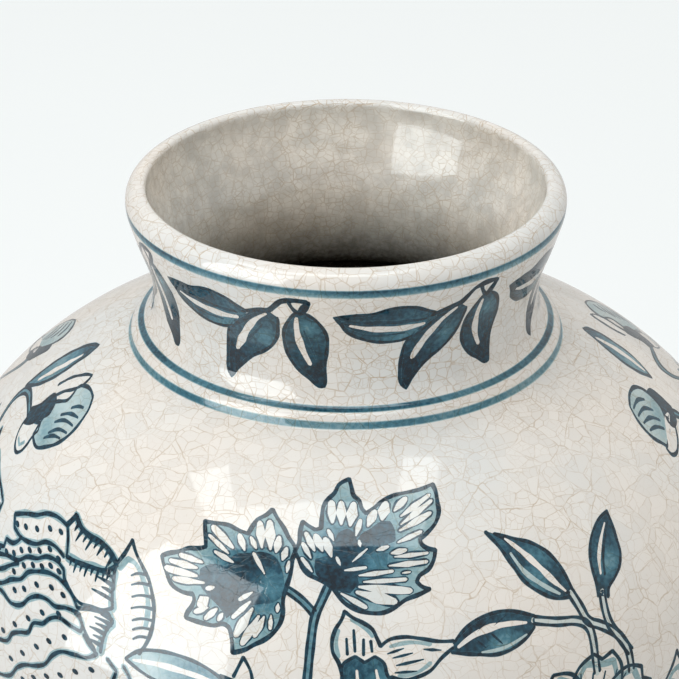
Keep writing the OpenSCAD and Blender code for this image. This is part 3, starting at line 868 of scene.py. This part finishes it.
def left_bud(b, leafed):
    """A pale bud in a dark calyx with two bare sepals, and perhaps the long leaf above it."""
    body = [(-93, 22.5), (-90, 21), (-87, 19.3), (-86, 17.5), (-85.8, 16.5), (-82, 14.2), (-78, 13.7),
            (-76, 14.2), (-75.5, 16.5), (-76.5, 19.5), (-79, 23.5), (-83, 27.3), (-88, 30.2), (-93, 32),
            (-96.5, 31), (-95, 26.5)]
    stripes = ([(-78, 17.5), (-80.5, 18.2), (-83.5, 19.8)], [(-78.6, 20), (-82.5, 20.7), (-87, 22.8)],
               [(-79.6, 22.2), (-84, 22.8), (-88.5, 25)], [(-81, 24.4), (-85, 25.2), (-89.3, 27.7)],
               [(-83, 26.4), (-86.5, 27.2), (-90.5, 29.3)])
    striped(b, body, pools(0.2, (-91, 28, 5, 0.2), (-78, 16, 4, 0.1)), stripes)
    b.stroke([(-96.5, 21.3), (-92, 17.9), (-88, 15.6), (-84, 13.4), (-82.3, 12.3)],
             [1.2, 2, 2, 1.3, 0.5], 0, 2)
    b.stroke([(-97, 20.2), (-92, 16.5), (-88, 14.3), (-84, 12.4), (-81.8, 11.7)], 0.7, 0.93, 3)
    b.stroke([(-95.5, 22.2), (-91.5, 19.4), (-87, 17), (-83.5, 14.4), (-82, 12.2)], 0.7, 0.93, 3)
    calyx(b, [(-104.5, 28.5), (-101, 26.5), (-98, 23.5), (-95.5, 21.8), (-92.8, 22.3), (-92.8, 24.5),
              (-95, 26.5), (-98, 28.5), (-102, 30.8), (-104.5, 31.5)])
    sepal = [(-104.5, 31), (-105.3, 33), (-104.5, 35.5), (-102, 36.8), (-99.5, 35.8), (-97.5, 33.5),
             (-96.5, 31.5), (-94.8, 29.5), (-95.3, 28), (-98.5, 29)]
    b.stroke(sepal, 0.75, 0.94, closed=True)
    b.stroke([(-103.5, 34.5), (-101.5, 35.2), (-99.5, 33.8)], 0.8, 0.4, 0)
    stalk = [(-104.5, 29.6), (-108, 28.8), (-112.5, 28.6), (-118, 30.5), (-121.5, 34.5), (-121.5, 39.5)]
    stem(b, stalk, 1.8)
    if not leafed:
        return
    leaf = [(-90.5, 8.5), (-96, 10.6), (-102, 14.2), (-108, 18.6), (-113.5, 23.6), (-119, 29.5),
            (-112.5, 26.8), (-107, 23.8), (-101, 19.6), (-95.5, 14.4), (-92, 10.8)]
    veined(b, leaf, pools(0.6, (-94, 11, 5, 0.25), (-107, 19, 5, -0.1)),
           [(-95.5, 12.8), (-100, 16.4), (-106.5, 21.2), (-112.5, 25.6)], [0.4, 1.1, 1.2, 0.5])


def right_bud(b, leafed):
    """The same bud from the other side, its stem leading away to the right."""
    body = [(88.7, 21.5), (91, 20.3), (95, 20.2), (99, 21.5), (103, 24.5), (105.5, 28.5), (104, 32.5),
            (98.5, 34.2), (97, 33), (93, 30), (90.5, 27), (89, 24)]
    stripes = ([(90, 22.5), (94, 22.4), (98.5, 24)], [(90.6, 24.4), (95, 24.6), (100, 27)],
               [(91.6, 26.4), (96, 27), (101, 29.6)], [(93.2, 28.6), (97, 29.4), (101, 31.4)])
    striped(b, body, pools(0.2, (102, 29, 5, 0.2), (91, 22, 4, 0.1)), stripes)
    b.stroke([(99.5, 34.8), (102, 32.8), (105, 31.4), (108, 31.2)], [0.8, 1.9, 2, 1], 0, 2)
    b.stroke([(97.8, 34.2), (99, 36), (102, 37), (105.5, 36), (108.5, 33.5)], 0.75, 0.94, 3)
    calyx(b, [(103.5, 24.5), (106, 25), (109.5, 28), (112.5, 31.5), (111, 33.5), (107.5, 33.5),
              (105.2, 31.5), (105.4, 28.5)])
    stem(b, [(112, 32.5), (115.5, 35), (118.5, 40), (120, 47)], 1.8)
    if not leafed:
        return
    leaf = [(95, 6.5), (99, 8), (104, 11.5), (108, 15.5), (112, 20.5), (113, 25), (108.5, 22.5),
            (103, 18.5), (98.5, 13.5)]
    veined(b, leaf, pools(0.6, (98, 9, 5, 0.2), (108, 19, 5, -0.1)),
           [(97.5, 9.5), (102, 13.2), (107, 17.8), (111.5, 23)], [0.4, 1.3, 1.5, 0.6])


def petal(b, cx, cs, lean, length, width, stripes):
    """One rounded petal of an open flower, leaning out from (cx, cs) and striped from its root."""
    half = width / 2
    c, d = math.cos(lean), math.sin(lean)

    def at(u, v):
        u, v = u * length, v * half
        return (cx + c * u - d * v, cs + d * u + c * v)

    edge = [at(0.3, -0.45), at(0.6, -0.95), at(0.86, -0.8), at(0.99, -0.3), at(0.93, 0.04), at(1, 0.4),
            at(0.84, 0.85), at(0.58, 0.92), at(0.3, 0.45)]
    inner = [at(0.34, -0.35), at(0.62, -0.8), at(0.9, -0.55), at(0.88, 0.1), at(0.9, 0.5), at(0.6, 0.78),
             at(0.34, 0.35)]
    b.stroke(inner, 1.5, 0.38, 0)
    b.stroke(edge, 0.85, 0.94)
    for k in range(stripes):
        v = (2 * k - stripes + 1) / (stripes + 1)
        b.stroke([at(0.42, 0.45 * v), at(0.66, v), at(0.8, 1.15 * v)], [0.8, 0.6, 0.35], 0.9)


def blossom(b, cx, cs, size):
    """An open round flower: two rings of striped petals around a dotted heart."""
    for k in range(8):
        petal(b, cx, cs, 0.2 + k * math.pi / 4, size, 0.72 * size, 4)
    for k in range(6):
        petal(b, cx, cs, 0.5 + k * math.pi / 3, 0.62 * size, 0.5 * size, 2)
    around = np.arange(12) * math.pi / 6
    heart = [(cx + 0.25 * size * math.cos(a), cs + 0.25 * size * math.sin(a)) for a in around]
    b.fill(heart, 0.55, 1)
    b.stroke(heart, 0.8, 0.94, 2, closed=True)
    for k in range(7):
        a = k * 2 * math.pi / 7
        b.spot(cx + 0.14 * size * math.cos(a), cs + 0.14 * size * math.sin(a), 0.8, 0.8, 0.95, 3)


def lance(b, x0, s0, x1, s1, width):
    """A lance leaf from its stalk to its tip, with a bare vein."""
    span = math.hypot(x1 - x0, s1 - s0)
    ux, us = (x1 - x0) / span, (s1 - s0) / span

    def at(u, v):
        return (x0 + ux * u * span - us * v * width, s0 + us * u * span + ux * v * width)

    outline = [at(0, 0), at(0.18, -0.36), at(0.42, -0.54), at(0.68, -0.38), at(1, 0.06), at(0.7, 0.42),
               at(0.42, 0.5), at(0.18, 0.3)]
    tip, root = at(0.9, 0.02), at(0.15, 0)
    spots = (*tip, 0.3 * span, 0.25), (*root, 0.2 * span, 0.12), (*at(0.5, 0.3), 0.2 * span, -0.2)
    vein = [at(0.06, 0), at(0.35, -0.04), at(0.6, -0.02), at(0.86, 0.03)]
    veined(b, outline, pools(0.68, *spots), vein, [0.6, 1.4, 1.3, 0.4])


def vine(b, points, leaves):
    """A running stem with lance leaves given as (place on stem, dx, ds, width)."""
    stem(b, points, 1.9)
    path, _ = curve(points, 1.0)
    for place, dx, ds, wide in leaves:
        i = int(place * (len(path) - 1))
        x, s = path[i]
        lance(b, x, s, x + dx, s + ds, wide)


def ring(b, s, width, ink, edge=None):
    """A painted line right round the pot, breathing along the way; edge is its upper edge's own ink."""
    offsets = np.linspace(-0.5, 0.5, 11) * width
    inks = np.interp(offsets / width, [-0.5, -0.36, 0.34, 0.5],
                     [0.0, ink if edge is None else edge, ink, 0.0])
    lifts = np.interp(np.abs(offsets) / width, [0.3, 0.5], [LIFT[0], RIM])
    wide = len(offsets)
    for k in range(ROUND):
        phi = k * 2 * math.pi / ROUND
        b.phi.append(np.full(wide, phi))
        b.s.append(s + b.down + offsets + 0.08 * math.sin(3 * phi + s))
        b.lift.append(lifts)
        b.ink.append(inks * (1 + 0.10 * math.sin(5 * phi + s) + 0.06 * math.sin(13 * phi + 2 * s)))
        for j in range(wide - 1):
            p, q = b.count + wide * k + j, b.count + wide * ((k + 1) % ROUND) + j
            b.faces.append((p, p + 1, q + 1, q))
    b.count += wide * ROUND


def mirrored(side, half, tip):
    """The left side given in shares of half, the tip on the middle line, and the side mirrored."""
    return [(-u * half, s) for u, s in side] + [tip] + [(u * half, s) for u, s in side[::-1]]


def lappet(b, span):
    """One pointed panel of the border above the foot, standing on its lower ring."""
    half = 0.46 * span
    outer = mirrored([(1, 216.5), (1, 208), (0.86, 202), (0.45, 197.2)], half, (0, 192.5))
    leaf = [(0, 214.5)] + mirrored([(0.34, 211), (0.5, 206.5), (0.28, 201.5)], half, (0, 197.5))
    b.stroke(outer, 1.6, 0.36, 0)
    b.stroke(outer, 0.8, 0.93)
    b.fill(leaf, pools(0.7, (0, 212, 4, 0.2), (0, 203, 3, -0.15)), 1)
    b.stroke(leaf, 0.7, 0.95, 2, closed=True)
    b.stroke([(0, 212.5), (0, 206), (0, 200)], [0.5, 1.3, 0.5], 0, 3)


def wave(b, span, level, rise):
    """One swing of the vine that runs round the pot, with its leaves."""
    swing = [(0, 0), (0.12, -0.8), (0.25, -1), (0.38, -0.8), (0.5, 0), (0.62, 0.8), (0.75, 1),
             (0.88, 0.8), (1, 0)]
    points = [(u * span, level + v * rise) for u, v in swing]
    leaves = [(0.10, 9, -13, 6), (0.17, 13, 5, 6), (0.36, 11, 9, 6), (0.42, 13, -8, 6), (0.60, 9, 11, 6),
              (0.67, 13, -4, 6), (0.86, 11, -10, 6), (0.92, 12, 8, 6)]
    vine(b, points, leaves)


# ------------------------------------------------------------------ the vase

# the shade layer paints shade into the glaze inside the mouth and deeper in
GROUND = glaze("crackle_glaze", COARSE, "shade", INSIDE_SHADE)
INSIDE = glaze("crackle_glaze_inside", FINE, "shade", INSIDE_SHADE, 0.6, 0.13)
PAINTED = glaze("blue_under_glaze", COARSE, "ink", PIGMENT)
CLAY = fired_body("fired_clay", (0.62, 0.54, 0.43), (0.50, 0.42, 0.32), 1.3)
SLIP = fired_body("fired_slip", (0.70, 0.62, 0.50), (0.60, 0.51, 0.40), 2.4)


def glazing():
    """The glaze in bands: inside body and neck, round the neck, and in quarters down the outside."""
    belly = float(S[int(np.argmax(np.where(S > 0, R, 0)))])
    inner_belly = float(S[int(np.argmax(np.where(S < S_TOP, R, 0)))])
    throat = (S > inner_belly) & (S < S_TOP)
    neck_end = float(S[int(np.argmin(np.where(throat, R, 1e9)))]) - 15.0
    lip = S_TOP - 1.6  # just past the lip's inner edge
    skin("glaze_floor_inside", float(S[0]), inner_belly, 1, INSIDE)
    skin("glaze_body_inside", inner_belly, neck_end, 1, INSIDE)
    skin("glaze_neck_inside", neck_end, lip, 1, INSIDE)
    skin("glaze_neck", lip, 0.0, 1, GROUND)
    skin("glaze_shoulder", 0.0, belly, 4, GROUND)
    skin("glaze_body", belly, float(S[-1]), 4, GROUND)


def paint_neck():
    """Seven sprigs between the rings under the lip and on the bead."""
    b = Paint("paint_neck")
    for k in range(7):
        b.place(k * 360 / 7)
        neck_spray(b)
    b.place()
    ring(b, -37.3, 2.3, 0.46, 0.78)
    ring(b, -4.7, 2.0, 0.7)
    ring(b, -0.5, 2.1, 0.57)
    b.finish(PAINTED)


def paint_shoulder(side, turn):
    """The flowering branch; the one at the back lacks the long leaves of its buds."""
    b = Paint(f"paint_shoulder_{side}")
    b.place(turn)
    stem(b, [(-13, 42), (-10, 44), (-7.2, 46.8)])
    trunk = [(-4, 41), (-5.3, 44), (-6.8, 47.5), (-7.3, 50), (-7.8, 54), (-8.5, 61), (-9.5, 70),
             (-12, 80)]
    stem(b, trunk + [(-13, 92)])
    maple(b, MAPLE_LEFT)
    maple(b, MAPLE_RIGHT)
    tulip(b)
    vein_leaf(b)
    cross(b)
    peony(b, turn)
    left_bud(b, side == "front")
    right_bud(b, side == "front")
    stem(b, [(-28.5, 63.5), (-20, 66), (-13.5, 71), (-10.5, 76)])
    stem(b, [(4.5, 73.8), (2, 80), (-4, 86), (-11.5, 89)])
    blossom(b, 58, 86.5, 21.5)
    b.finish(PAINTED)


def paint_side(side, turn):
    """What fills the gap between the two branches."""
    b = Paint(f"paint_side_{side}")
    peony(b, turn + 20, 36, -1.0)
    b.place(turn + 88, 34)
    maple(b, MAPLE_RIGHT)
    stem(b, [(-4, 41), (-1, 47), (0, 53), (-1, 60), (-6, 68), (-14, 76), (-24, 82), (-32, 88)])
    b.place(turn)
    vine(b, [(120, 47), (124, 56), (130, 65), (140, 72)], [(0.3, -14, 4, 6), (0.6, 4, -13, 6)])
    b.finish(PAINTED)


def paint_body(side, turn):
    """The lower painting, which the photograph doesn't show: the same motifs again."""
    b = Paint(f"paint_body_{side}")
    b.place(turn)
    blossom(b, -14, 118, 25)
    vine(b, [(-14, 143), (-4, 152), (12, 155), (30, 148), (44, 140)],
         [(0.25, 8, 14, 7), (0.5, 16, 9, 7), (0.72, -4, -17, 7)])
    vine(b, [(-40, 122), (-52, 132), (-66, 134), (-80, 127), (-92, 116)],
         [(0.15, -6, 15, 7), (0.4, -12, 14, 7), (0.55, -4, -18, 7), (0.8, -17, 6, 7), (0.95, 4, -16, 7)])
    for x0, s0, x1, s1 in ((10, 110, 33, 103), (11, 118, 36, 120), (-36, 108, -56, 98)):
        lance(b, x0, s0, x1, s1, 8)
    b.place(turn + 12, 84)
    vein_leaf(b)
    cross(b)
    b.place(turn + 112, 92)
    maple(b, MAPLE_LEFT)
    maple(b, MAPLE_RIGHT)
    stem(b, [(-13, 42), (-10, 44), (-7.2, 46.8)])
    stem(b, [(-4, 41), (-5.3, 44), (-6.8, 47.5), (-7.8, 54), (-8.5, 61), (-9, 70)])
    b.place(turn + 68, 78)
    tulip(b)
    vine(b, [(4.5, 73.8), (2, 80), (-6, 86), (-16, 84)], [(0.4, 14, 6, 6), (0.7, -6, 14, 6)])
    b.finish(PAINTED)


def paint_foot():
    """The running vine under the belly, the border of lappets and the rings round the foot."""
    b = Paint("paint_foot")
    vine_at, swings, lappets = 176.0, 8, 20
    span = 2 * math.pi / swings * float(radius(vine_at))
    for k in range(swings):
        b.place(360 / swings * k)
        wave(b, span, vine_at, 6.0)
    span = 2 * math.pi / lappets * float(radius(214.0))
    for k in range(lappets):
        b.place(360 / lappets * k)
        lappet(b, span)
    b.place()
    for s, width, ink in ((189.5, 1.8, 0.62), (217.5, 2.0, 0.62), (221.0, 1.2, 0.5), (236.0, 1.8, 0.6)):
        ring(b, s, width, ink)
    b.finish(PAINTED)


def bare_clay():
    """The CAD bodies under and beside the glaze."""
    for name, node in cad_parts.items():
        if name == "glaze_coat":
            continue
        body = SLIP if name in ("foot_slip", "belly_slip", "neck_bead") else CLAY
        for k in range(len(node.material_slots)):
            node.material_slots[k].material = body
        if not node.material_slots:
            node.data.materials.append(body)


glazing()
paint_neck()
for side, turn in (("front", 0), ("back", 180)):
    paint_shoulder(side, turn)
    paint_side(side, turn)
    paint_body(side, turn)
paint_foot()
bare_clay()

# ------------------------------------------------------------------ room, light and camera


def stage_floor():
    """The pale table, which glows a little for the camera so that it ends as white as the wall behind."""
    material, n, shader = principled("pale_floor")
    place = n.add("ShaderNodeTexCoord").outputs["Object"]
    tone = n.mix(n.noise(place, 3.0), (0.51, 0.52, 0.52, 1.0), (0.53, 0.535, 0.535, 1.0))
    seen = n.add("ShaderNodeLightPath").outputs["Is Camera Ray"]
    tone = n.mix(seen, (0.70, 0.70, 0.70, 1.0), tone)
    glow = n.math("MULTIPLY", seen, 0.43)
    n.wire(shader, {"Base Color": tone, "Emission Strength": glow,
           "Emission Color": (0.90, 0.98, 1.0, 1.0)})
    n.wire(shader, {"Roughness": 0.6, "IOR": 1.2})
    reach = 6.0
    corners = [(-reach, -reach, 0), (reach, -reach, 0), (reach, reach, 0), (-reach, reach, 0)]
    mesh = bpy.data.meshes.new("floor")
    mesh.from_pydata(corners, [], [(0, 1, 2, 3)])
    mesh.materials.append(material)
    floor = bpy.data.objects.new("floor", mesh)
    bpy.context.scene.collection.objects.link(floor)


def softbox(name, place, aim, size, strength, gloss_only=False):
    """A rectangular softbox that lights the pot, or one that is only seen mirrored in its gloss."""
    data = bpy.data.lights.new(name, "AREA")
    data.shape = "RECTANGLE"
    data.size, data.size_y = size
    data.energy = strength * math.pi * size[0] * size[1]
    if gloss_only:
        data.color = (0.93, 0.99, 1.0)
    lamp = bpy.data.objects.new(name, data)
    lamp.location = place
    lamp.rotation_euler = (Vector(aim) - Vector(place)).to_track_quat("-Z", "Y").to_euler()
    lamp.visible_camera = False
    lamp.visible_diffuse = not gloss_only
    lamp.visible_glossy = gloss_only
    bpy.context.scene.collection.objects.link(lamp)


def room():
    """A pale tent: even behind the pot, brighter overhead at the right, dimmer round the camera."""
    world = bpy.data.worlds.new("tent")
    bpy.context.scene.world = world
    world.use_nodes = True
    n = Nodes(world.node_tree)
    way = n.add("ShaderNodeTexCoord").outputs["Generated"]
    toward = n.add("ShaderNodeVectorMath", {0: way, 1: (0.62, 0.30, 0.72)}, operation="DOT_PRODUCT")
    dim = n.step(toward.outputs["Value"], -0.5, 0.7, 0.45, 0.92)
    seen = n.add("ShaderNodeLightPath").outputs["Is Camera Ray"]
    tint = n.mix(seen, (0.96, 0.94, 0.91, 1.0), (0.905, 0.94, 0.95, 1.0))
    n.wire(world.node_tree.nodes["Background"], {"Color": tint, "Strength": n.math("MAXIMUM", dim, seen)})


LENS, SENSOR = 182.916, 36.0  # mm
FAR, RISE = 0.820, math.radians(24.1)  # the camera from the middle of the mouth: metres off, angle above
AIM_BELOW, AIM_LEFT = math.radians(2.654), math.radians(0.118)  # of the mouth's middle


def photographer():
    """The camera, placed from the top of the glaze."""
    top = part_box("glaze_coat")[1][2]
    data = bpy.data.cameras.new("camera")
    data.sensor_width = SENSOR
    data.lens = LENS
    data.clip_start = 0.01
    camera = bpy.data.objects.new("camera", data)
    camera.location = (0.0, -FAR * math.cos(RISE), top + FAR * math.sin(RISE))
    pitch = RISE + AIM_BELOW
    flat = math.cos(pitch)
    ahead = Vector((-math.sin(AIM_LEFT) * flat, math.cos(AIM_LEFT) * flat, -math.sin(pitch)))
    camera.rotation_euler = ahead.to_track_quat("-Z", "Y").to_euler()
    bpy.context.scene.collection.objects.link(camera)
    bpy.context.scene.camera = camera
    bpy.context.scene.view_settings.view_transform = "Standard"
stage_floor()
room()
softbox("overhead", (-0.11, 0.02, 1.2), (-0.11, 0.02, 0.0), (0.58, 0.28), 3.5)
softbox("overhead_sheen", (-0.125, -0.12, 1.2), (-0.125, -0.12, 0.0), (0.87, 0.56), 4.6, True)
softbox("window", (-0.635, -0.533, 0.76), (0.0, 0.0, 0.2), (0.73, 0.80), 3.0)
softbox("window_sheen", (-0.65, -0.52, 0.68), (0.0, 0.0, 0.68), (0.66, 1.16), 7.0, True)
photographer()
